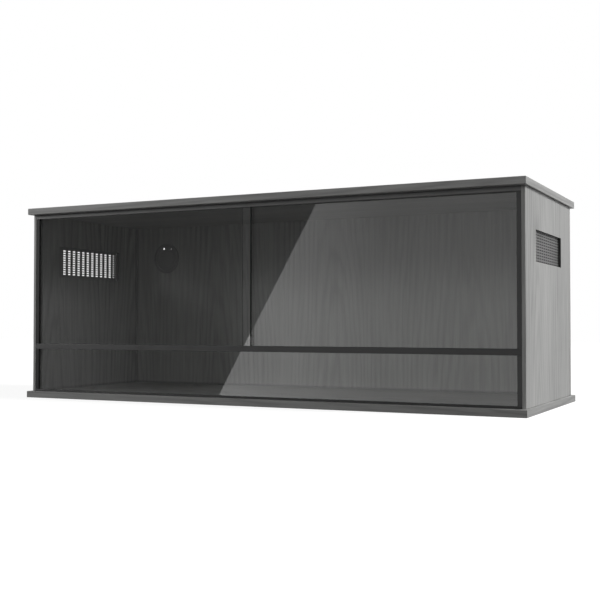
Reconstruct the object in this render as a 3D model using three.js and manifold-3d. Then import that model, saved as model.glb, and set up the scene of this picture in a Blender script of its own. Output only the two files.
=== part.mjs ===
// A wide terrarium cabinet of melamine boards: two sliding glass doors over a fixed lower pane,
// a slotted vent let into each side and a cable port with a turning cap in the back.
// Millimetres. +X is to the right, +Y to the back and +Z up. The origin lies on the floor under
// the middle of the cabinet, and the doors face -Y.

import * as THREE from 'three';
import { mergeVertices } from 'three/addons/utils/BufferGeometryUtils.js';
import Module from 'manifold-3d';

const wasm = await Module();
wasm.setup();

// Carcass boards
const cabinetWidth = 1195;
const cabinetDepth = 450;
const cabinetHeight = 450;
const boardThickness = 15; // top and bottom boards
const sideThickness = 15;
const backThickness = 15;
const frontOverhang = 15; // top and bottom boards past the carcass
const rearOverhang = 22;
const sideOverhang = 5;
const easeRadius = 1; // eased edges of the boards
const easeSegments = 2;
const frontEdgeRadius = 2; // banded front outer corner of the sides
const frontEdgeSegments = 4;

// Clearances
const seatGap = 0.3; // between a piece and the seat that it is let into
const turningGap = 0.5; // around the cap in its liner

// Glazing
const paneThickness = 4;
const grooveWidth = 5;
const trackWall = 1.6;
const trackWeb = 2;
const noseDepth = 3.9; // thick front wall of the tracks and the rail
const noseRadius = 0.8;
const glazingSetback = 0.5; // from the sides' front edges to the front of the tracks
const topTrackHeight = 10;
const reliefHeight = 2; // step above the top track's nose
const reliefDepth = 2.6;
const middleWallDrop = 1; // top track's middle wall below its nose
const railHeight = 12.5;
const railLift = 100; // from the floor board to the underside of the middle rail
const railFloor = 2.4; // web between the rail's upper and lower grooves
const doorGrooveDepth = 5.1; // upper grooves of the rail
const bottomChannelHeight = 4.6;
const bottomChannelWeb = 1.4;
const glazingRebate = 7.4; // how far the frame is let into each side
const channelReach = 2.1; // upright channels past the sides' inner faces, over the panes' edges
const channelWall = 1.4;
const channelRadius = 0.6;
const doorOverlap = 23.4;
const leftDoorWidth = 578.3;
const paneEdgeGap = 0.5; // between a pane's upright edge and the side
const fixedPaneTopGap = 0.4;
const doorBite = 2.6; // how far a resting door reaches into the top track

// Side vents
const ventSetback = 83.5; // from the side's front edge to the opening
const ventLength = 230;
const ventHeight = 63;
const ventDrop = 76.5; // from the top board to the opening
const ventLip = 5.5; // board left outside the grille
const grilleThickness = 2;
const grilleMargin = 6; // grille past the opening on every side
const slotColumns = 12;
const slotRows = 11;
const slotLength = 11;
const slotHeight = 3;
const slotColumnPitch = 18.27;
const slotRowPitch = 5.75;
const slotFieldShift = 8.3; // slot field's centre behind the opening's centre
const slotFieldRise = 0.3;

// Cable port in the back
const portInset = 98.7; // from the left side's inner face
const portDrop = 83.2; // from the top board
const portHoleRadius = 35;
const linerWall = 2;
const sleeveLength = 6; // liner into the back, from its flange
const flangeRadius = 40;
const flangeThickness = 2;
const flangeEase = 0.8;
const ledgeRadius = 31;
const ledgeThickness = 2;
const capThickness = 3;
const capDishRadius = 21;
const capDishDepth = 0.7;
const capDishSlope = 2;
const cableSlot = { width: 6.4, innerRadius: 24.8, angle: 107 };
const leadSlot = { width: 2.2, innerRadius: 27, angle: 58 };
const roundSegments = 48;

// Fasteners
const screwShankRadius = 2.8;
const screwHeadRadius = 4.8;
const screwHeadHeight = 2.6;
const screwLength = 48;
const screwTip = 4;
const screwRecess = 0.3; // head below the board's face
const screwEndGap = 1; // drilled past the tip
const socketRadius = 2.3; // hexagonal drive, across its corners
const socketDepth = 2;
const fastenerSegments = 12;
const edgeScrewInset = 45; // from a side's front and rear edges to its screws
const backScrewInset = 330; // from the back's ends to its screws above and below
const backSideScrewInset = 95; // from the back's upper and lower edges to its screws into the sides
const grilleScrewShankRadius = 1.2;
const grilleScrewHeadRadius = 2.4;
const grilleScrewHeadHeight = 1.2;
const grilleScrewBite = 4; // into the lip of the board
const grilleScrewTip = 1;
const grilleScrewSegments = 8;

// Places that follow from the sizes
const innerBottom = boardThickness;
const innerTop = cabinetHeight - boardThickness;
const innerHeight = innerTop - innerBottom;
const sideOuterX = cabinetWidth / 2 - sideOverhang;
const sideInnerX = sideOuterX - sideThickness;
const frontY = -cabinetDepth / 2;
const sideFrontY = frontY + frontOverhang;
const backRearY = cabinetDepth / 2 - rearOverhang;
const backFrontY = backRearY - backThickness;
const sideMiddleX = (sideOuterX + sideInnerX) / 2;
const backMiddleY = (backFrontY + backRearY) / 2;

const frameFrontY = sideFrontY + glazingSetback;
const frontGrooveY = frameFrontY + noseDepth;
const middleWallY = frontGrooveY + grooveWidth;
const rearGrooveY = middleWallY + trackWall;
const rearWallY = rearGrooveY + grooveWidth;
const frameRearY = rearWallY + trackWall;
const paneInset = (grooveWidth - paneThickness) / 2;
const frontPaneY = frontGrooveY + paneInset;
const rearPaneY = rearGrooveY + paneInset;
const rebateX = sideInnerX + glazingRebate;
const rebateRearY = frontGrooveY + seatGap;
const frameEndX = rebateX - seatGap;
const trackEndX = sideInnerX - seatGap; // behind the nose, the tracks end between the sides
const paneEndX = sideInnerX - paneEdgeGap;

const railBottom = innerBottom + railLift;
const railTop = railBottom + railHeight;
const railWebTop = railTop - doorGrooveDepth;
const railWebBottom = railWebTop - railFloor;
const topTrackBottom = innerTop - topTrackHeight;
const topGrooveCeiling = innerTop - trackWeb;
const bottomChannelTop = innerBottom + bottomChannelHeight;
const doorBottom = railWebTop + seatGap;
const doorHeight = topTrackBottom + doorBite - doorBottom;
const rightDoorWidth = 2 * paneEndX - leftDoorWidth + doorOverlap;

const ventFrontY = sideFrontY + ventSetback;
const ventMiddleY = ventFrontY + ventLength / 2;
const ventMiddleZ = innerTop - ventDrop - ventHeight / 2;
const grilleOuterX = sideOuterX - ventLip;
const grilleInnerX = grilleOuterX - grilleThickness;
const grilleLength = ventLength + 2 * grilleMargin;
const grilleHeight = ventHeight + 2 * grilleMargin;

const portX = -sideInnerX + portInset;
const portZ = innerTop - portDrop;

// Materials
const greyOak = new THREE.MeshStandardMaterial({ color: 0x8f8f8b, roughness: 0.6, metalness: 0 });
const blackPlastic = new THREE.MeshStandardMaterial({ color: 0x232323, roughness: 0.35, metalness: 0 });
const glass = new THREE.MeshStandardMaterial({
  color: 0xc9d2cf,
  roughness: 0.04,
  metalness: 0,
  transparent: true,
  opacity: 0.3,
});
const greyPlastic = new THREE.MeshStandardMaterial({ color: 0x989894, roughness: 0.45, metalness: 0 });
const zincSteel = new THREE.MeshStandardMaterial({ color: 0xa9abad, roughness: 0.4, metalness: 0.9 });

// Solids

// Keeps positions only, joins shared vertices and drops the triangles that collapse at a pole.
function toClosedGeometry(geometry) {
  const bare = geometry.clone();
  bare.deleteAttribute('normal');
  bare.deleteAttribute('uv');
  bare.clearGroups();
  const merged = mergeVertices(bare, 1e-4);
  const kept = [];
  const { array } = merged.index;
  for (let i = 0; i < array.length; i += 3) {
    const [a, b, c] = array.slice(i, i + 3);
    if (a !== b && b !== c && c !== a) kept.push(a, b, c);
  }
  merged.setIndex(kept);
  return merged;
}

function toManifold(geometry) {
  const closed = toClosedGeometry(geometry);
  return new wasm.Manifold(new wasm.Mesh({
    numProp: 3,
    vertProperties: new Float32Array(closed.attributes.position.array),
    triVerts: new Uint32Array(closed.index.array),
  }));
}

function fromManifold(solid) {
  const { vertProperties, triVerts } = solid.getMesh();
  const geometry = new THREE.BufferGeometry();
  geometry.setAttribute('position', new THREE.BufferAttribute(new Float32Array(vertProperties), 3));
  geometry.setIndex(new THREE.BufferAttribute(new Uint32Array(triVerts), 1));
  return geometry;
}

function cutAway(geometry, cutters) {
  const tools = cutters.map(toManifold).reduce((sum, tool) => sum.add(tool));
  return fromManifold(toManifold(geometry).subtract(tools));
}

function boxBetween(low, high) {
  const size = high.map((value, axis) => value - low[axis]);
  const centre = high.map((value, axis) => (value + low[axis]) / 2);
  return new THREE.BoxGeometry(...size).translate(...centre);
}

// A round rod from one point to another, as a body or as a cutter.
function rodBetween(from, to, radius, segments) {
  const start = new THREE.Vector3(...from);
  const along = new THREE.Vector3(...to).sub(start);
  const rod = new THREE.CylinderGeometry(radius, radius, along.length(), segments);
  rod.translate(0, along.length() / 2, 0);
  return orient(rod, start, along);
}

// Turns a shape that stands on the origin along +Y, and sets it on a point along a direction.
function orient(geometry, point, direction) {
  const turn = new THREE.Quaternion().setFromUnitVectors(
    new THREE.Vector3(0, 1, 0),
    direction.clone().normalize(),
  );
  return geometry.applyQuaternion(turn).translate(point.x, point.y, point.z);
}

// Extrudes a profile drawn in (y, z) from one X to another.
function extrudeAlongX(profile, fromX, toX) {
  const bar = new THREE.ExtrudeGeometry(profile, {
    depth: toX - fromX,
    bevelEnabled: false,
    curveSegments: 3,
  });
  bar.rotateY(Math.PI / 2).rotateX(Math.PI / 2);
  return bar.translate(fromX, 0, 0);
}

// Extrudes a profile drawn in (x, y) from one height to another.
function extrudeUp(profile, fromZ, toZ) {
  const post = new THREE.ExtrudeGeometry(profile, {
    depth: toZ - fromZ,
    bevelEnabled: false,
    curveSegments: 3,
  });
  return post.translate(0, 0, fromZ);
}

// Extrudes a board's outline upwards, with both of its ends eased.
function boardUp(outline, fromZ, toZ, curveSegments = easeSegments) {
  const board = new THREE.ExtrudeGeometry(outline, {
    depth: toZ - fromZ - 2 * easeRadius,
    bevelThickness: easeRadius,
    bevelSize: easeRadius,
    bevelOffset: -easeRadius,
    bevelSegments: easeSegments,
    curveSegments,
  });
  return board.translate(0, 0, fromZ + easeRadius);
}

function polygon(points) {
  return new THREE.Shape(points.map(([x, y]) => new THREE.Vector2(x, y)));
}

function mesh(name, geometry, material) {
  const piece = new THREE.Mesh(geometry, material.clone());
  piece.name = name;
  return piece;
}

// Where the fasteners go

const screwSpots = [
  ['left_front', -sideMiddleX, sideFrontY + edgeScrewInset],
  ['left_rear', -sideMiddleX, backFrontY - edgeScrewInset],
  ['right_front', sideMiddleX, sideFrontY + edgeScrewInset],
  ['right_rear', sideMiddleX, backFrontY - edgeScrewInset],
  ['back_left', -sideOuterX + backScrewInset, backMiddleY],
  ['back_right', sideOuterX - backScrewInset, backMiddleY],
];
const backScrewSpots = [
  ['left_upper', -sideMiddleX, innerTop - backSideScrewInset],
  ['left_lower', -sideMiddleX, innerBottom + backSideScrewInset],
  ['right_upper', sideMiddleX, innerTop - backSideScrewInset],
  ['right_lower', sideMiddleX, innerBottom + backSideScrewInset],
];

// Each screw has its entry point on a board's face and the way that it is driven.
const down = new THREE.Vector3(0, 0, -1);
const up = new THREE.Vector3(0, 0, 1);
const forward = new THREE.Vector3(0, -1, 0);
const topScrews = screwSpots.map(([place, x, y]) => (
  { name: `top_screw_${place}`, entry: new THREE.Vector3(x, y, cabinetHeight), way: down }));
const bottomScrews = screwSpots.map(([place, x, y]) => (
  { name: `bottom_screw_${place}`, entry: new THREE.Vector3(x, y, 0), way: up }));
const backScrews = backScrewSpots.map(([place, x, z]) => (
  { name: `back_screw_${place}`, entry: new THREE.Vector3(x, backRearY, z), way: forward }));
const boardScrews = [...topScrews, ...bottomScrews, ...backScrews];

// A countersunk screw with a hexagonal socket.
function boardScrew({ entry, way }) {
  const profile = [
    [0, 0],
    [screwShankRadius, screwTip],
    [screwShankRadius, screwLength - screwHeadHeight],
    [screwHeadRadius, screwLength],
    [0, screwLength],
  ].map(([r, y]) => new THREE.Vector2(r, y));
  const socket = new THREE.CylinderGeometry(socketRadius, socketRadius, 2 * socketDepth, 6);
  const screw = cutAway(
    new THREE.LatheGeometry(profile, fastenerSegments),
    [socket.translate(0, screwLength, 0)],
  );
  const tip = entry.clone().addScaledVector(way, screwRecess + screwLength);
  return orient(screw, tip, way.clone().negate());
}

// The clearance hole and countersink for a screw.
function screwHole({ entry, way }) {
  const length = screwLength + screwEndGap;
  const profile = [
    [0, 0],
    [screwShankRadius + seatGap, 0],
    [screwShankRadius + seatGap, length - screwHeadHeight],
    [screwHeadRadius + seatGap, length],
    [screwHeadRadius + seatGap, length + screwRecess + 1],
    [0, length + screwRecess + 1],
  ].map(([r, y]) => new THREE.Vector2(r, y));
  const bottom = entry.clone().addScaledVector(way, screwRecess + length);
  return orient(new THREE.LatheGeometry(profile, fastenerSegments), bottom, way.clone().negate());
}

// Boards

// A top or bottom board with eased edges all round, overhanging the carcass.
function overhangingBoard(bottomZ, cutters) {
  const halfWidth = cabinetWidth / 2;
  const halfDepth = cabinetDepth / 2;
  const outline = polygon([
    [-halfWidth, -halfDepth],
    [halfWidth, -halfDepth],
    [halfWidth, halfDepth],
    [-halfWidth, halfDepth],
  ]);
  return cutAway(boardUp(outline, bottomZ, bottomZ + boardThickness), cutters);
}

// A side board: a plan profile with the rebate for the glazing frame at its front inner corner.
function sidePlan(hand) {
  const plan = new THREE.Shape();
  plan.moveTo(hand * sideInnerX, backFrontY);
  plan.lineTo(hand * (sideOuterX - easeRadius), backFrontY);
  plan.lineTo(hand * sideOuterX, backFrontY - easeRadius);
  plan.lineTo(hand * sideOuterX, sideFrontY + frontEdgeRadius);
  plan.quadraticCurveTo(
    hand * sideOuterX,
    sideFrontY,
    hand * (sideOuterX - frontEdgeRadius),
    sideFrontY,
  );
  plan.lineTo(hand * rebateX, sideFrontY);
  plan.lineTo(hand * rebateX, rebateRearY);
  plan.lineTo(hand * sideInnerX, rebateRearY);
  plan.closePath();
  return plan;
}

function ventOpening(hand) {
  const halfLength = ventLength / 2;
  const halfHeight = ventHeight / 2;
  return boxBetween(
    [Math.min(hand * (sideInnerX - 1), hand * (sideOuterX + 1)), ventMiddleY - halfLength, ventMiddleZ - halfHeight],
    [Math.max(hand * (sideInnerX - 1), hand * (sideOuterX + 1)), ventMiddleY + halfLength, ventMiddleZ + halfHeight],
  );
}

// The recess inside the side that the grille is laid in.
function ventRecess(hand) {
  const halfLength = grilleLength / 2 + seatGap;
  const halfHeight = grilleHeight / 2 + seatGap;
  return boxBetween(
    [Math.min(hand * (sideInnerX - 1), hand * grilleOuterX), ventMiddleY - halfLength, ventMiddleZ - halfHeight],
    [Math.max(hand * (sideInnerX - 1), hand * grilleOuterX), ventMiddleY + halfLength, ventMiddleZ + halfHeight],
  );
}

const grilleScrewSpots = [['front', -1], ['rear', 1]].flatMap(([end, alongY]) => (
  [['lower', -1], ['upper', 1]].map(([level, alongZ]) => ({
    place: `${end}_${level}`,
    y: ventMiddleY + (alongY * (grilleLength - grilleMargin)) / 2,
    z: ventMiddleZ + (alongZ * (grilleHeight - grilleMargin)) / 2,
  }))));

function grilleScrewHoles(hand) {
  return grilleScrewSpots.map(({ y, z }) => rodBetween(
    [hand * (grilleInnerX - 1), y, z],
    [hand * (grilleOuterX + grilleScrewBite + seatGap), y, z],
    grilleScrewShankRadius + seatGap,
    grilleScrewSegments,
  ));
}

function sidePanel(hand) {
  return cutAway(boardUp(sidePlan(hand), innerBottom, innerTop, frontEdgeSegments), [
    ventOpening(hand),
    ventRecess(hand),
    ...grilleScrewHoles(hand),
    ...boardScrews.filter(({ entry }) => Math.sign(entry.x) === hand).map(screwHole),
  ]);
}

// The back closes the rear of the sides, with its ends flush with their outer faces.
function backPanel() {
  const plan = polygon([
    [-sideOuterX + easeRadius, backFrontY],
    [sideOuterX - easeRadius, backFrontY],
    [sideOuterX, backFrontY + easeRadius],
    [sideOuterX, backRearY - easeRadius],
    [sideOuterX - easeRadius, backRearY],
    [-sideOuterX + easeRadius, backRearY],
    [-sideOuterX, backRearY - easeRadius],
    [-sideOuterX, backFrontY + easeRadius],
  ]);
  const portHole = rodBetween(
    [portX, backFrontY - 1, portZ],
    [portX, backRearY + 1, portZ],
    portHoleRadius,
    roundSegments,
  );
  return cutAway(boardUp(plan, innerBottom, innerTop), [
    portHole,
    ...boardScrews.map(screwHole),
  ]);
}

// Glazing frame: profiles in (y, z)

// The nose is the thick front wall that shows; its two front corners are rounded.
function noseUp(profile, bottomZ, topZ) {
  profile.lineTo(frameFrontY + noseRadius, bottomZ);
  profile.quadraticCurveTo(frameFrontY, bottomZ, frameFrontY, bottomZ + noseRadius);
  profile.lineTo(frameFrontY, topZ - noseRadius);
  profile.quadraticCurveTo(frameFrontY, topZ, frameFrontY + noseRadius, topZ);
}

function topTrackProfile() {
  const noseTop = innerTop - reliefHeight;
  const profile = new THREE.Shape();
  profile.moveTo(frontGrooveY, topGrooveCeiling);
  profile.lineTo(frontGrooveY, topTrackBottom);
  noseUp(profile, topTrackBottom, noseTop);
  profile.lineTo(frameFrontY + reliefDepth, noseTop);
  profile.lineTo(frameFrontY + reliefDepth, innerTop);
  profile.lineTo(frameRearY, innerTop);
  profile.lineTo(frameRearY, topTrackBottom);
  profile.lineTo(rearWallY, topTrackBottom);
  profile.lineTo(rearWallY, topGrooveCeiling);
  profile.lineTo(rearGrooveY, topGrooveCeiling);
  profile.lineTo(rearGrooveY, topTrackBottom - middleWallDrop);
  profile.lineTo(middleWallY, topTrackBottom - middleWallDrop);
  profile.lineTo(middleWallY, topGrooveCeiling);
  profile.closePath();
  return profile;
}

// Runs a track from side to side. Only its nose reaches into the sides' rebates.
function track(profile) {
  const low = [frontGrooveY, innerBottom - 1];
  const high = [frameRearY + 1, innerTop + 1];
  return cutAway(extrudeAlongX(profile, -frameEndX, frameEndX), [
    boxBetween([-frameEndX - 1, ...low], [-trackEndX, ...high]),
    boxBetween([trackEndX, ...low], [frameEndX + 1, ...high]),
  ]);
}

// Two grooves above for the doors and one below for the fixed pane.
function middleRailProfile() {
  const profile = new THREE.Shape();
  profile.moveTo(frontGrooveY, railWebBottom);
  profile.lineTo(frontGrooveY, railBottom);
  noseUp(profile, railBottom, railTop);
  profile.lineTo(frontGrooveY, railTop);
  profile.lineTo(frontGrooveY, railWebTop);
  profile.lineTo(middleWallY, railWebTop);
  profile.lineTo(middleWallY, railTop);
  profile.lineTo(rearGrooveY, railTop);
  profile.lineTo(rearGrooveY, railWebTop);
  profile.lineTo(rearWallY, railWebTop);
  profile.lineTo(rearWallY, railTop);
  profile.lineTo(frameRearY, railTop);
  profile.lineTo(frameRearY, railWebBottom);
  profile.lineTo(rearGrooveY, railWebBottom);
  profile.lineTo(rearGrooveY, railBottom);
  profile.lineTo(middleWallY, railBottom);
  profile.lineTo(middleWallY, railWebBottom);
  profile.closePath();
  return profile;
}

function bottomChannelProfile() {
  const webTop = innerBottom + bottomChannelWeb;
  const profile = new THREE.Shape();
  profile.moveTo(rearGrooveY, innerBottom);
  noseUp(profile, innerBottom, bottomChannelTop);
  profile.lineTo(frontGrooveY, bottomChannelTop);
  profile.lineTo(frontGrooveY, webTop);
  profile.lineTo(middleWallY, webTop);
  profile.lineTo(middleWallY, bottomChannelTop);
  profile.lineTo(rearGrooveY, bottomChannelTop);
  profile.closePath();
  return profile;
}

// An upright channel in plan: its web faces the front and its lips stand in the rebate.
function channelPlan(hand) {
  const innerX = sideInnerX - channelReach;
  const webRearY = frameFrontY + channelWall;
  const plan = new THREE.Shape();
  plan.moveTo(hand * frameEndX, frontGrooveY);
  plan.lineTo(hand * frameEndX, frameFrontY);
  plan.lineTo(hand * (innerX + channelRadius), frameFrontY);
  plan.quadraticCurveTo(hand * innerX, frameFrontY, hand * innerX, frameFrontY + channelRadius);
  plan.lineTo(hand * innerX, frontGrooveY);
  plan.lineTo(hand * (innerX + channelWall), frontGrooveY);
  plan.lineTo(hand * (innerX + channelWall), webRearY);
  plan.lineTo(hand * (frameEndX - channelWall), webRearY);
  plan.lineTo(hand * (frameEndX - channelWall), frontGrooveY);
  plan.closePath();
  return plan;
}

function uprightChannel(hand, fromZ, toZ) {
  return extrudeUp(channelPlan(hand), fromZ + seatGap, toZ - seatGap);
}

function pane(width, height) {
  return new THREE.BoxGeometry(width, paneThickness, height);
}

// Side vents

// The grille lies in its recess, drawn about its own centre with the slots along Y.
function grille() {
  const plate = new THREE.BoxGeometry(grilleThickness, grilleLength, grilleHeight);
  const firstY = slotFieldShift - ((slotColumns - 1) * slotColumnPitch) / 2;
  const firstZ = slotFieldRise - ((slotRows - 1) * slotRowPitch) / 2;
  const slots = [];
  for (let column = 0; column < slotColumns; column += 1) {
    for (let row = 0; row < slotRows; row += 1) {
      const slot = new THREE.BoxGeometry(grilleThickness + 2, slotLength, slotHeight);
      slots.push(slot.translate(0, firstY + column * slotColumnPitch, firstZ + row * slotRowPitch));
    }
  }
  const screwHoles = grilleScrewSpots.map(({ y, z }) => rodBetween(
    [-grilleThickness, y - ventMiddleY, z - ventMiddleZ],
    [grilleThickness, y - ventMiddleY, z - ventMiddleZ],
    grilleScrewShankRadius + seatGap,
    grilleScrewSegments,
  ));
  return cutAway(plate, [...slots, ...screwHoles]);
}

// A small pan-head screw, driven outwards from inside the cabinet.
function grilleScrew(hand, { y, z }) {
  const length = grilleThickness + grilleScrewBite + grilleScrewHeadHeight;
  const profile = [
    [0, 0],
    [grilleScrewShankRadius, grilleScrewTip],
    [grilleScrewShankRadius, length - grilleScrewHeadHeight],
    [grilleScrewHeadRadius, length - grilleScrewHeadHeight],
    [grilleScrewHeadRadius, length - grilleScrewHeadHeight / 2],
    [grilleScrewHeadRadius / 2, length],
    [0, length],
  ].map(([r, height]) => new THREE.Vector2(r, height));
  const tip = new THREE.Vector3(hand * (grilleOuterX + grilleScrewBite), y, z);
  const screw = new THREE.LatheGeometry(profile, grilleScrewSegments);
  return toClosedGeometry(orient(screw, tip, new THREE.Vector3(-hand, 0, 0)));
}

// Cable port, drawn about its axis along +Y with y = 0 on the back's inner face

function portLiner() {
  const sleeveOuter = portHoleRadius - seatGap;
  const sleeveInner = sleeveOuter - linerWall;
  const ledgeFront = capThickness - flangeThickness + seatGap;
  const profile = [
    [sleeveInner, -flangeThickness],
    [flangeRadius - flangeEase, -flangeThickness],
    [flangeRadius, -flangeThickness + flangeEase],
    [flangeRadius, 0],
    [sleeveOuter, 0],
    [sleeveOuter, sleeveLength],
    [sleeveInner, sleeveLength],
    [sleeveInner, ledgeFront + ledgeThickness],
    [ledgeRadius, ledgeFront + ledgeThickness],
    [ledgeRadius, ledgeFront],
    [sleeveInner, ledgeFront],
    [sleeveInner, -flangeThickness],
  ].map(([r, y]) => new THREE.Vector2(r, y));
  return toClosedGeometry(new THREE.LatheGeometry(profile, roundSegments));
}

// A slot from an inner radius out past the rim.
function rimSlot({ width, innerRadius, angle }, outerRadius) {
  const slot = boxBetween(
    [innerRadius, -capThickness - flangeThickness, -width / 2],
    [outerRadius + 1, 2 * capThickness, width / 2],
  );
  return slot.rotateY(-THREE.MathUtils.degToRad(angle));
}

// The cap turns in the liner; its front is dished and its rim has a slot for cables and one for a
// thin lead.
function portCap() {
  const rim = portHoleRadius - seatGap - linerWall - turningGap;
  const front = -flangeThickness;
  const rear = front + capThickness;
  const profile = [
    [0, front + capDishDepth],
    [capDishRadius, front + capDishDepth],
    [capDishRadius + capDishSlope, front],
    [rim - flangeEase, front],
    [rim, front + flangeEase],
    [rim, rear],
    [0, rear],
  ].map(([r, y]) => new THREE.Vector2(r, y));
  const disc = new THREE.LatheGeometry(profile, roundSegments);
  return cutAway(disc, [rimSlot(cableSlot, rim), rimSlot(leadSlot, rim)]);
}

// Assembly

const cabinet = new THREE.Group();

const carcass = new THREE.Group();
carcass.add(
  mesh('top_panel', overhangingBoard(innerTop, topScrews.map(screwHole)), greyOak),
  mesh('bottom_panel', overhangingBoard(0, bottomScrews.map(screwHole)), greyOak),
  mesh('left_side_panel', sidePanel(-1), greyOak),
  mesh('right_side_panel', sidePanel(1), greyOak),
  mesh('back_panel', backPanel(), greyOak),
  ...boardScrews.map((screw) => mesh(screw.name, boardScrew(screw), zincSteel)),
);

const glazingFrame = new THREE.Group();
glazingFrame.add(
  mesh('top_track', track(topTrackProfile()), blackPlastic),
  mesh('middle_rail', track(middleRailProfile()), blackPlastic),
  mesh('bottom_channel', track(bottomChannelProfile()), blackPlastic),
);
for (const [side, hand] of [['left', -1], ['right', 1]]) {
  glazingFrame.add(
    mesh(`${side}_door_channel`, uprightChannel(hand, railTop, topTrackBottom), blackPlastic),
    mesh(`${side}_pane_channel`, uprightChannel(hand, bottomChannelTop, railBottom), blackPlastic),
  );
}

const leftDoor = mesh('left_door_glass', pane(leftDoorWidth, doorHeight), glass);
leftDoor.position.set(
  -paneEndX + leftDoorWidth / 2,
  frontPaneY + paneThickness / 2,
  doorBottom + doorHeight / 2,
);
const rightDoor = mesh('right_door_glass', pane(rightDoorWidth, doorHeight), glass);
rightDoor.position.set(
  paneEndX - rightDoorWidth / 2,
  rearPaneY + paneThickness / 2,
  doorBottom + doorHeight / 2,
);
const fixedPaneBottom = innerBottom + bottomChannelWeb + seatGap;
const fixedPaneHeight = railWebBottom - fixedPaneTopGap - fixedPaneBottom;
const fixedPane = mesh('lower_fixed_glass', pane(2 * paneEndX, fixedPaneHeight), glass);
fixedPane.position.set(0, frontPaneY + paneThickness / 2, fixedPaneBottom + fixedPaneHeight / 2);
const glazing = new THREE.Group();
glazing.add(leftDoor, rightDoor, fixedPane);

const vents = new THREE.Group();
for (const [side, hand] of [['left', -1], ['right', 1]]) {
  const plate = mesh(`${side}_vent_grille`, grille(), greyPlastic);
  plate.position.set((hand * (grilleInnerX + grilleOuterX)) / 2, ventMiddleY, ventMiddleZ);
  vents.add(plate, ...grilleScrewSpots.map((spot) => (
    mesh(`${side}_vent_screw_${spot.place}`, grilleScrew(hand, spot), zincSteel))));
}

const cablePort = new THREE.Group();
cablePort.position.set(portX, backFrontY, portZ);
cablePort.add(
  mesh('cable_port_liner', portLiner(), blackPlastic),
  mesh('cable_port_cap', portCap(), blackPlastic),
);

cabinet.add(carcass, glazingFrame, glazing, vents, cablePort);

export default cabinet;
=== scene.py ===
import math

import bmesh
import bpy
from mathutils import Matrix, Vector


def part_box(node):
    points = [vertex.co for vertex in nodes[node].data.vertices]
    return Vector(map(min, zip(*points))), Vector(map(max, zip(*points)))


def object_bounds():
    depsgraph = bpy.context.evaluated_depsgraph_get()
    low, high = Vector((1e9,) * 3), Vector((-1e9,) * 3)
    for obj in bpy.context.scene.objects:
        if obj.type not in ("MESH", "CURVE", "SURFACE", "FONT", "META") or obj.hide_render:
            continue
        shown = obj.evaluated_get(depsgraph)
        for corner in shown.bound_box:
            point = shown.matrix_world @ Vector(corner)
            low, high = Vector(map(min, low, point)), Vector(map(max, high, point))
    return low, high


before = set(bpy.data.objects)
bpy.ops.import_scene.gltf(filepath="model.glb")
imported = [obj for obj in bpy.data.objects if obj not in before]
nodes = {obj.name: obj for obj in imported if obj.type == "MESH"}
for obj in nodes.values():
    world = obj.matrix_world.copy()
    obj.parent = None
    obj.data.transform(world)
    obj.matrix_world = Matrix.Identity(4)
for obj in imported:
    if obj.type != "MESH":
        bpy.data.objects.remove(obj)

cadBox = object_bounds()
scene = bpy.context.scene
print("frame loaded:", len(nodes), "nodes")


# camera: the view of the photograph

cameraPlace = {
    "location": (1.0426, -2.0616, 0.17357),
    "azimuth": 26.45,
    "pitch": 1.4,
    "lens": 59.724,
    "sensor": 36.0,
    "pictureSize": 600.0,     # the photograph is square
}

cameraData = bpy.data.cameras.new("camera")
cameraData.lens = cameraPlace["lens"]
cameraData.sensor_width = cameraPlace["sensor"]
camera = bpy.data.objects.new("camera", cameraData)
camera.location = cameraPlace["location"]
camera.rotation_euler = (math.radians(90 + cameraPlace["pitch"]), 0, math.radians(cameraPlace["azimuth"]))
scene.collection.objects.link(camera)
scene.camera = camera
scene.view_settings.view_transform = "Standard"
print("camera placed")


# shader maths: an expression on signals adds its own Math nodes

class Signal:
    def __init__(self, finish, socket):
        self.finish = finish
        self.socket = socket

    def combine(self, operation, first, second=0.0):
        return self.finish.node("Math", {"operation": operation}, {0: first, 1: second})

    def __add__(self, other):
        return self.combine("ADD", self, other)

    __radd__ = __add__

    def __sub__(self, other):
        return self.combine("SUBTRACT", self, other)

    def __rsub__(self, other):
        return self.combine("SUBTRACT", other, self)

    def __mul__(self, other):
        return self.combine("MULTIPLY", self, other)

    __rmul__ = __mul__

    def __truediv__(self, other):
        return self.combine("DIVIDE", self, other)

    def __pow__(self, other):
        return self.combine("POWER", self, other)

    def __gt__(self, other):
        return self.combine("GREATER_THAN", self, other)

    def __lt__(self, other):
        return self.combine("LESS_THAN", self, other)

    def __abs__(self):
        return self.combine("ABSOLUTE", self)

    def root(self):
        return self.combine("SQRT", self)

    def sine(self):
        return self.combine("SINE", self)

    def folded(self, width):
        return self.combine("PINGPONG", self, width)

    def larger(self, other):
        return self.combine("MAXIMUM", self, other)


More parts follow.
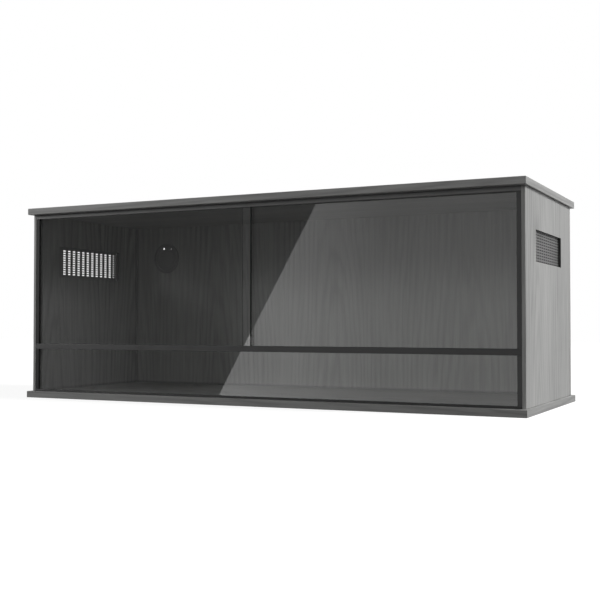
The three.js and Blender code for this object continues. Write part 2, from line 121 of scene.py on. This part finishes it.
class Finish:
    def __init__(self, owner):    # a new material, or the world
        self.owner = owner
        owner.use_nodes = True
        self.tree = owner.node_tree
        self.tree.nodes.clear()

    def node(self, kind, settings=None, inputs=None, output=0):
        made = self.tree.nodes.new("ShaderNode" + kind)
        for key, value in (settings or {}).items():
            setattr(made, key, value)
        for key, value in (inputs or {}).items():
            if isinstance(value, Signal):
                self.tree.links.new(value.socket, made.inputs[key])
            else:
                made.inputs[key].default_value = value
        return Signal(self, made.outputs[output])

    def place(self):
        return self.node("TexCoord", output="Object")

    def facing(self):
        return self.split(self.node("TexCoord", output="Normal"))

    def ray(self, kind):
        return self.node("LightPath", output="Is " + kind + " Ray")

    def split(self, vector):
        parts = self.node("SeparateXYZ", {}, {0: vector}).socket.node
        return [Signal(self, parts.outputs[axis]) for axis in range(3)]

    def join(self, x, y, z):
        return self.node("CombineXYZ", {}, {0: x, 1: y, 2: z})

    def noise(self, vector, scale, detail, roughness):
        return self.node("TexNoise", {}, {
            "Vector": vector, "Scale": scale, "Detail": detail, "Roughness": roughness,
        })

    def remap(self, value, span, target=(0.0, 1.0), smooth=False):
        settings = {"interpolation_type": "SMOOTHSTEP"} if smooth else {}
        return self.node("MapRange", settings, {
            "Value": value,
            "From Min": span[0], "From Max": span[1],
            "To Min": target[0], "To Max": target[1],
        })

    def blendColours(self, factor, first, second):
        first, second = (part if isinstance(part, Signal) else (*part, 1) for part in (first, second))
        return self.node("Mix", {"data_type": "RGBA"}, {0: factor, 6: first, 7: second}, output=2)

    def bump(self, height, strength, distance):
        return self.node("Bump", {}, {"Height": height, "Strength": strength, "Distance": distance})

    def surface(self, shader, output="OutputMaterial"):
        made = self.tree.nodes.new("ShaderNode" + output)
        self.tree.links.new(shader.socket, made.inputs["Surface"])
        return self.owner


def newFinish(name):
    return Finish(bpy.data.materials.new(name))


def dress(names, material):
    for name in names:
        slots = nodes[name].data.materials
        slots.clear()
        slots.append(material)


# boards: grey oak melamine, with its figure along the board and a banded edge all round

oak = {
    "pale": (0.460, 0.460, 0.452),
    "dark": (0.225, 0.225, 0.221),
    "line": (0.130, 0.130, 0.128),     # rings and pores
    # colour of the painted shade on the bottom board's edges and in the inner corners
    "paintedShadeBlack": (0.0, 0.0, 0.0),
    "roughness": (0.44, 0.57),
    "roughSpan": (0.3, 0.7),
    "gloss": 0.40,

    # noises: cycles per metre across and along the grain, detail and roughness
    "wander": (3.0, 0.9, 2.0, 0.5),
    "ripple": (26.0, 1.9, 4.0, 0.6),
    "bands": (62.0, 3.72, 2.0, 0.55),
    "streaks": (190.0, 6.46, 4.0, 0.62),
    "pores": (900.0, 18.0, 2.0, 0.7),
    "cloud": (7.0, 1.54, 2.0, 0.5),

    # cathedrals: rings of a tilted log cut flat, repeated across the board
    "figureWidth": 0.34,       # one cathedral and the straight grain beside it
    "figureDepth": 0.016,      # how far the ring centres lie behind the face
    "figureTilt": 0.085,
    "wanderAcross": 0.10,
    "wanderDepth": 0.09,
    "ringSpacing": 0.0125,
    "rippleTurns": 2.6,
    "ringSharpness": 2.2,
    "figureSpan": (0.36, 0.62),
    "figureShare": (0.50, 0.15),    # where the clouds are dark, and where they are pale

    # straight grain: the span of each noise that is used, and its share in the tone
    "bandSpan": (0.28, 0.72),
    "bandShare": 0.26,
    "streakSpan": (0.32, 0.68),
    "streakShare": 0.48,
    "cloudSpan": (0.3, 0.7),
    "cloudShare": 0.26,
    "poreSpan": (0.56, 0.72),
    "poreShare": 0.16,

    # relief
    "streakRelief": 0.6,
    "bandRelief": 0.3,
    "ringRelief": 0.2,
    "poreRelief": 0.5,
    "reliefStrength": 0.18,
    "reliefDepth": 0.0004,

    # edges, and painted shade in the inner corners
    "endTurn": 0.7,            # a board's end is where its normal passes this
    "faceTurn": 0.5,           # a face looks along an axis where its normal passes this
    "bandSeam": 0.0009,        # from a board's edge to the seam of its edge band
    "seamSpan": (0.00008, 0.00026),
    "seamShare": 0.45,
    "seam": (0.09, 0.09, 0.09),
    "paintedShadeSpan": (0.002, 0.009),
    "paintedShadeStrength": 0.50,        # painted shade: a dark line in the inner corners, where two boards meet

    # painted shade: near black on the routed walls of the vents
    "paintedVentShade": (0.012, 0.012, 0.012),
    "paintedShadeInset": 0.0004,     # behind the side's outer face
    "paintedShadeMargin": 0.001,     # around the grille
}


def grainNoise(finish, across, run, layer):
    acrossRate, runRate, detail, roughness = oak[layer]
    return finish.noise(finish.join(across * acrossRate, run * runRate, 0.0), 1.0, detail, roughness)


def cathedralRings(finish, across, run):
    wander = grainNoise(finish, across, run, "wander") - 0.5
    centred = (across + wander * oak["wanderAcross"]).folded(oak["figureWidth"] / 2)
    rise = run * oak["figureTilt"] + wander * oak["wanderDepth"] + oak["figureDepth"]
    radius = (centred * centred + rise * rise).root()
    ripple = grainNoise(finish, across, run, "ripple") - 0.5
    turns = radius / oak["ringSpacing"] + ripple * oak["rippleTurns"]
    wave = (turns * math.tau).sine()
    return (wave * 0.5 + 0.5) ** oak["ringSharpness"]


def oakFinish(name, along, offset, seams=(), ventBox=None, contrast=1.0, paintedEdgeShade=0.0, joints=()):
    finish = newFinish(name)
    place = finish.split(finish.place())
    x, y, z = (part + shift for part, shift in zip(place, offset))
    normal = finish.facing()
    if along == "z":
        run, across = z, x + y
    else:
        onEnd = abs(normal[0]) > oak["endTurn"]    # the band on a board's end runs along the end
        run = x * (1 - onEnd) + y * onEnd
        across = (y + z) * (1 - onEnd) + z * onEnd
    rings = cathedralRings(finish, across, run)
    bands = grainNoise(finish, across, run, "bands")
    streaks = grainNoise(finish, across, run, "streaks")
    pores = finish.remap(grainNoise(finish, across, run, "pores"), oak["poreSpan"])
    cloud = grainNoise(finish, across, run, "cloud")

    tone = (finish.remap(bands, oak["bandSpan"]) * oak["bandShare"]
            + finish.remap(streaks, oak["streakSpan"]) * oak["streakShare"]
            + finish.remap(cloud, oak["cloudSpan"]) * oak["cloudShare"])
    tone = finish.remap(tone, (0.0, 1.0), (0.5 - contrast / 2, 0.5 + contrast / 2))
    colour = finish.blendColours(tone, oak["dark"], oak["pale"])
    figured = finish.remap(cloud, oak["figureSpan"], [share * contrast for share in oak["figureShare"]])
    colour = finish.blendColours(rings * figured, colour, oak["line"])
    colour = finish.blendColours(pores * oak["poreShare"], colour, oak["line"])

    for axis, edge in seams:
        distance = abs(abs(place[axis]) - (edge - oak["bandSeam"]))
        line = 1 - finish.remap(distance, oak["seamSpan"], smooth=True)
        line = line * (abs(normal[axis]) < oak["faceTurn"]) * oak["seamShare"]
        colour = finish.blendColours(line, colour, oak["seam"])
    # painted shade: every face but the upward ones darker
    if paintedEdgeShade:
        colour = finish.blendColours((normal[2] < oak["faceTurn"]) * paintedEdgeShade, colour, oak["paintedShadeBlack"])
    # painted shade: a dark line along the inner corners where two boards meet
    for axis, cornerLine, facingAxis, way in joints:
        where = abs(place[0]) if axis == 0 else place[axis]    # the sides are a pair, back and floor are not
        shade = 1 - finish.remap(abs(where - cornerLine), oak["paintedShadeSpan"], smooth=True)
        shade = shade * (normal[facingAxis] * way > oak["faceTurn"]) * oak["paintedShadeStrength"]
        colour = finish.blendColours(shade, colour, oak["paintedShadeBlack"])
    # painted shade: the routed walls of the vent openings near black
    if ventBox:
        deepest = ventBox["outerFace"] - oak["paintedShadeInset"]
        inside = (abs(normal[0]) < oak["faceTurn"]) * (abs(place[0]) < deepest)
        for axis, middle, half in ventBox["extents"]:
            inside = inside * (abs(place[axis] - middle) < half)
        colour = finish.blendColours(inside, colour, oak["paintedVentShade"])

    height = (streaks * oak["streakRelief"] + bands * oak["bandRelief"]
              - rings * oak["ringRelief"] - pores * oak["poreRelief"])
    return finish.surface(finish.node("BsdfPrincipled", {}, {
        "Base Color": colour,
        "Roughness": finish.remap(streaks, oak["roughSpan"], oak["roughness"]),
        "Specular IOR Level": oak["gloss"],
        "Normal": finish.bump(height, oak["reliefStrength"], oak["reliefDepth"]),
    }))


def ventBoxOf(side):
    low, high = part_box(side + "_vent_grille")
    panelLow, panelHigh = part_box(side + "_side_panel")
    extents = []
    for axis in (1, 2):
        middle = (low[axis] + high[axis]) / 2
        extents.append((axis, middle, (high[axis] - low[axis]) / 2 + oak["paintedShadeMargin"]))
    return {"outerFace": max(abs(panelLow[0]), abs(panelHigh[0])), "extents": extents}


overhangSeams = ((0, cadBox[1][0]), (1, cadBox[1][1]))
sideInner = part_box("right_side_panel")[0][0]
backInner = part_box("back_panel")[0][1]
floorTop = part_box("bottom_panel")[1][2]

# each line of painted corner shade: the axis and place of its line, then the axis and way that the shaded
# face looks
dress(["top_panel"], oakFinish("greyOakTop", "x", (0.31, 0.07, 0.0), overhangSeams))
dress(["bottom_panel"], oakFinish(
    "greyOakBottom", "x", (1.13, 0.52, 0.2), overhangSeams, paintedEdgeShade=0.18,
    joints=((0, sideInner, 2, 1), (1, backInner, 2, 1))))
dress(["left_side_panel"], oakFinish(
    "greyOakLeft", "z", (0.0, 0.37, 0.61), ventBox=ventBoxOf("left"), contrast=1.1,
    joints=((1, backInner, 0, 1), (2, floorTop, 0, 1))))
dress(["right_side_panel"], oakFinish(
    "greyOakRight", "z", (0.0, 1.21, 0.23), ventBox=ventBoxOf("right"),
    joints=((1, backInner, 0, -1), (2, floorTop, 0, -1))))
dress(["back_panel"], oakFinish(
    "greyOakBack", "z", (0.135, 0.0, 0.12), contrast=0.75,
    joints=((0, sideInner, 1, -1), (2, floorTop, 1, -1))))
print("boards finished")


# glazing frame, cable port and grilles: plastic

plastic = {
    # stretch of the fine lines, then the scale, detail and roughness of their noise
    "drawnAlongX": ((0.01, 1.0, 1.0), (1600.0, 3.0, 0.6)),
    "drawnAlongZ": ((1.0, 1.0, 0.01), (1600.0, 3.0, 0.6)),
    "moulded": ((1.0, 1.0, 1.0), (700.0, 3.0, 0.6)),
    "lineDepth": 0.0002,
    "smudge": (26.0, 3.0, 0.55),
    "smudgeSpan": (0.35, 0.75),
    "smudgeShare": 0.35,
    "smudgeGain": 1.35,
    "smudgeLift": 0.004,
    "roughSpan": (0.3, 0.7),
    "wallTurn": 0.6,           # a wall turns away from its axis where its normal stays below this
    "insideReach": -0.3,       # place times normal, below this on faces that look into the cabinet
}

blackPlastic = {
    "colour": (0.016, 0.016, 0.016),
    "roughness": (0.40, 0.53),
    "gloss": 0.46,
    "lines": 0.05,
}


def plasticFinish(name, look, texture):
    finish = newFinish(name)
    stretch, lineNoise = plastic[texture]
    lines = finish.noise(finish.node("Mapping", {}, {"Vector": finish.place(), "Scale": stretch}), *lineNoise)
    smudge = finish.noise(finish.place(), *plastic["smudge"])
    smudged = [part * plastic["smudgeGain"] + plastic["smudgeLift"] for part in look["colour"]]
    smudging = finish.remap(smudge, plastic["smudgeSpan"]) * plastic["smudgeShare"]
    colour = finish.blendColours(smudging, look["colour"], smudged)
    # a look's walls and inward faces take colours of their own: painted light and shade
    if "wall" in look:
        axis, wallColour = look["wall"]
        colour = finish.blendColours(abs(finish.facing()[axis]) < plastic["wallTurn"], colour, wallColour)
    if "inside" in look:
        outward = finish.split(finish.place())[0] * finish.facing()[0]
        colour = finish.blendColours(outward < plastic["insideReach"], colour, look["inside"])
    return finish.surface(finish.node("BsdfPrincipled", {}, {
        "Base Color": colour,
        "Roughness": finish.remap(smudge, plastic["roughSpan"], look["roughness"]),
        "Specular IOR Level": look["gloss"],
        "Normal": finish.bump(lines, look["lines"], plastic["lineDepth"]),
    }))


# painted light: the top track is the same black plastic, coloured lighter grey all over
topTrackPaintedLightLook = {**blackPlastic, "colour": (0.140, 0.140, 0.138)}
trackLook = {**blackPlastic, "gloss": 0.40}
dress(["top_track"], plasticFinish("blackTopTrackPaintedLight", topTrackPaintedLightLook, "drawnAlongX"))
dress(["middle_rail", "bottom_channel"], plasticFinish("blackTrack", trackLook, "drawnAlongX"))

# two copies of one black plastic: on the left, the walls are painted lighter, which is painted light, and the
# gloss is lower
channelLooksWithPaintedLight = {
    "left": {"gloss": 0.14, "wall": (1, (0.07, 0.07, 0.07))},
    "right": {"gloss": 0.42},
}
for side, look in channelLooksWithPaintedLight.items():
    dress([side + "_door_channel", side + "_pane_channel"],
          plasticFinish(side + "Channel", {**blackPlastic, **look}, "drawnAlongZ"))

portLook = {**blackPlastic, "colour": (0.205, 0.205, 0.202)}
dress(["cable_port_liner", "cable_port_cap"], plasticFinish("blackPort", portLook, "moulded"))

# painted light and shade on one grey plastic: outward faces dark, faces that look into the cabinet lighter,
# slot walls near black
grilleLook = {
    "colour": (0.098, 0.098, 0.097),
    "roughness": (0.37, 0.50),
    "gloss": 0.4,
    "lines": 0.10,
    "wall": (0, (0.012, 0.012, 0.012)),    # painted shade inside the slots
    "inside": (0.27, 0.27, 0.265),
}
dress(["left_vent_grille", "right_vent_grille"], plasticFinish("greyGrille", grilleLook, "moulded"))
print("plastic finished")


# panes: clear float glass with dark polished edges

pane = {
    "tint": (0.96, 0.96, 0.957),
    "shade": (0.90, 0.91, 0.905),    # light that each face of a pane lets into the cabinet
    "ior": 1.5,
    "haze": (7.0, 3.0, 0.5),
    "hazeSpan": (0.4, 0.8),
    "roughness": (0.0, 0.012),
    "edge": (0.006, 0.009, 0.008),
    "edgeRoughness": 0.3,
    "edgeGloss": 0.2,
    "edgeTurn": 0.5,
    "paintedDarkStrip": 0.0014,                 # dark strip painted on the front door's face along its free edge, widening the edge's dark line
}


def glassFinish(name, paintedStripEdge=None):
    finish = newFinish(name)
    edgeAndPaintedStrip = abs(finish.facing()[1]) < pane["edgeTurn"]
    # a dark strip painted on the face beside the front door's free edge, with the pane's real edges
    if paintedStripEdge is not None:
        edgeAndPaintedStrip = edgeAndPaintedStrip.larger(finish.split(finish.place())[0] > paintedStripEdge - pane["paintedDarkStrip"])
    haze = finish.noise(finish.place(), *pane["haze"])
    clear = finish.node("BsdfPrincipled", {}, {
        "Base Color": (*pane["tint"], 1),
        "Roughness": finish.remap(haze, pane["hazeSpan"], pane["roughness"]),
        "IOR": pane["ior"],
        "Transmission Weight": 1.0,
    })
    through = finish.node("BsdfTransparent", {}, {"Color": (*pane["shade"], 1)})
    edge = finish.node("BsdfPrincipled", {}, {
        "Base Color": (*pane["edge"], 1),
        "Roughness": pane["edgeRoughness"],
        "Specular IOR Level": pane["edgeGloss"],
    })
    light = finish.ray("Shadow").larger(finish.ray("Diffuse"))
    body = finish.node("MixShader", {}, {0: light, 1: clear, 2: through})
    return finish.surface(finish.node("MixShader", {}, {0: edgeAndPaintedStrip, 1: body, 2: edge}))


dress(["right_door_glass", "lower_fixed_glass"], glassFinish("paneGlass"))
dress(["left_door_glass"], glassFinish("frontDoorGlass", paintedStripEdge=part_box("left_door_glass")[1][0]))
print("glass finished")


# screws: bright zinc

zinc = {
    "colour": (0.60, 0.61, 0.62),
    "stained": (0.42, 0.42, 0.41),
    "stain": (160.0, 3.0, 0.6),
    "stainSpan": (0.4, 0.8),
    "stainShare": 0.4,
    "roughness": (0.25, 0.40),
    "roughSpan": (0.3, 0.7),
    "grain": (900.0, 3.0, 0.6),
    "grainStrength": 0.08,
    "grainDepth": 0.0001,
}


def zincFinish(name):
    finish = newFinish(name)
    grain = finish.noise(finish.place(), *zinc["grain"])
    stain = finish.noise(finish.place(), *zinc["stain"])
    staining = finish.remap(stain, zinc["stainSpan"]) * zinc["stainShare"]
    return finish.surface(finish.node("BsdfPrincipled", {}, {
        "Base Color": finish.blendColours(staining, zinc["colour"], zinc["stained"]),
        "Metallic": 1.0,
        "Roughness": finish.remap(stain, zinc["roughSpan"], zinc["roughness"]),
        "Normal": finish.bump(grain, zinc["grainStrength"], zinc["grainDepth"]),
    }))


dress([name for name in nodes if "_screw" in name], zincFinish("zincScrew"))
print("screws finished")


# studio: a pale floor, three cards that gloss and glass mirror, two lamps and a plain world

studio = {
    "floorSize": 14.0,
    "floorColour": 0.30,
    "floorBounce": 0.05,      # what the floor throws back on the cabinet
    "floorGlow": 0.86,        # near the cabinet, and 1 far from it
    "glowSpan": (0.8, 3.2),
    "worldLight": 0.21,
}


def quad(name, corners, material):
    shape = bmesh.new()
    shape.faces.new([shape.verts.new(corner) for corner in corners])
    mesh = bpy.data.meshes.new(name)
    shape.to_mesh(mesh)
    shape.free()
    mesh.materials.append(material)
    thing = bpy.data.objects.new(name, mesh)
    scene.collection.objects.link(thing)
    return thing


def floorFinish():
    finish = newFinish("paleFloor")
    pale, dim = studio["floorColour"], studio["floorBounce"]
    matt = finish.node("MixShader", {}, {
        0: finish.ray("Diffuse"),
        1: finish.node("BsdfDiffuse", {}, {"Color": (pale, pale, pale, 1)}),
        2: finish.node("BsdfDiffuse", {}, {"Color": (dim, dim, dim, 1)}),
    })
    x, y = finish.split(finish.place())[:2]
    distance = (x * x + y * y).root()
    glow = finish.remap(distance, studio["glowSpan"], (studio["floorGlow"], 1.0), smooth=True)
    glow = finish.node("Emission", {}, {"Strength": finish.ray("Camera") * glow})
    return finish.surface(finish.node("AddShader", {}, {0: matt, 1: glow}))


reach = studio["floorSize"] / 2
floor = quad(
    "floor", [(-reach, -reach, 0), (reach, -reach, 0), (reach, reach, 0), (-reach, reach, 0)], floorFinish())
floor.visible_glossy = False    # gloss and glass show the white world there, and the cards' feet
floor.visible_transmission = False

# A light and a dark card stand in front, seen only in gloss and through glass. Their common end is the
# slanting line that crosses the panes. A bright card at the left is seen only in gloss.
cards = {
    "distance": -3.6,
    "paneFace": -0.2030,
    "lineTop": (315.0, 204.0),      # where the slanting line ends in the picture
    "lineFoot": (219.0, 395.0),
    "overshoot": 0.9,
    "lightLength": 7.0,
    "light": (1.08, 1.12),          # low and high
    "lightHeights": (-0.15, 0.75),
    "lightFoot": 0.26,              # added where the cabinet's own floor is mirrored over
    "footHeights": (-0.10, -0.26),
    "fade": (1.26, 0.67),           # beside the line and far from it
    "fadeReach": (0.1, 1.1),
    "darkLength": 3.2,
    "dark": (0.19, 0.50),           # beside the line and far from it
    "darkReach": (-0.3, -1.5),
    "darkHeights": (0.62, 0.25),
    "side": 14.0,
    "sideNear": (-4.3, -3.2),
    "sideFar": (-5.0, -1.4),
    "sideHeight": (0.6, 2.2),
}


def throughPixel(pixel):
    focal = cameraPlace["lens"] / cameraPlace["sensor"] * cameraPlace["pictureSize"]
    middle = cameraPlace["pictureSize"] / 2
    local = Vector(((pixel[0] - middle) / focal, (middle - pixel[1]) / focal, -1.0))
    return (camera.rotation_euler.to_matrix() @ local).normalized()


def mirroredPoint(pixel):
    start = Vector(cameraPlace["location"])
    way = throughPixel(pixel)
    onPane = start + way * ((cards["paneFace"] - start.y) / way.y)
    back = Vector((way.x, -way.y, way.z))
    return onPane + back * ((cards["distance"] - onPane.y) / back.y)


top = mirroredPoint(cards["lineTop"])
foot = mirroredPoint(cards["lineFoot"])


def fromLine(steps):
    return [foot.x + step for step in steps]


def lightGlow(finish, x, z):
    glow = finish.remap(z, cards["lightHeights"], cards["light"])
    glow = glow + finish.remap(z, cards["footHeights"], (0.0, cards["lightFoot"]), smooth=True)
    return glow * finish.remap(x, fromLine(cards["fadeReach"]), cards["fade"])


def darkGlow(finish, x, z):
    near, far = cards["dark"]
    aside = finish.remap(x, fromLine(cards["darkReach"]), smooth=True)
    low = finish.remap(z, cards["darkHeights"], smooth=True)
    return near + aside * low * (far - near)


def card(name, corners, glow):
    finish = newFinish(name)
    if callable(glow):
        place = finish.split(finish.place())
        glow = glow(finish, place[0], place[2])
    made = quad(name, corners, finish.surface(finish.node("Emission", {}, {"Strength": glow})))
    made.visible_camera = False
    made.visible_diffuse = False
    made.visible_shadow = False
    return made


lean = (top - foot).normalized() * cards["overshoot"]
right = Vector((cards["lightLength"], 0, 0))
left = Vector((-cards["darkLength"], 0, 0))
card("lightCard", [foot - lean, foot - lean + right, top + lean + right, top + lean], lightGlow)
card("darkCard", [foot - lean, foot - lean + left, top + lean + left, top + lean], darkGlow)
near, far = cards["sideNear"], cards["sideFar"]
low, high = cards["sideHeight"]
sideCard = card("sideCard", [(*far, low), (*near, low), (*near, high), (*far, high)], cards["side"])
sideCard.visible_transmission = False
print("cards placed")


lamps = {
    "keyLamp": {
        "location": (4.6, 0.7, 4.6),
        "target": (0.3, 0.0, 0.2),
        "size": (1.6, 1.6),
        "power": 392,
    },
    "fillLamp": {
        "location": (-3.4, -3.2, 1.6),
        "target": (-0.4, -0.2, 0.3),
        "size": (1.2, 0.8),
        "power": 46,
    },
}

for name, lamp in lamps.items():
    data = bpy.data.lights.new(name, "AREA")
    data.shape = "RECTANGLE"
    data.size, data.size_y = lamp["size"]
    data.energy = lamp["power"]
    made = bpy.data.objects.new(name, data)
    made.location = lamp["location"]
    made.rotation_euler = (Vector(lamp["target"]) - made.location).to_track_quat("-Z", "Y").to_euler()
    made.visible_camera = False
    made.visible_glossy = False
    made.visible_transmission = False
    scene.collection.objects.link(made)

world = Finish(bpy.data.worlds.new("studioWorld"))
shown = world.ray("Camera").larger(world.ray("Transmission")).larger(world.ray("Glossy"))
strength = world.remap(shown, (0.0, 1.0), (studio["worldLight"], 1.0))
background = world.node("Background", {}, {"Color": (1, 1, 1, 1), "Strength": strength})
scene.world = world.surface(background, "OutputWorld")
print("studio lit")
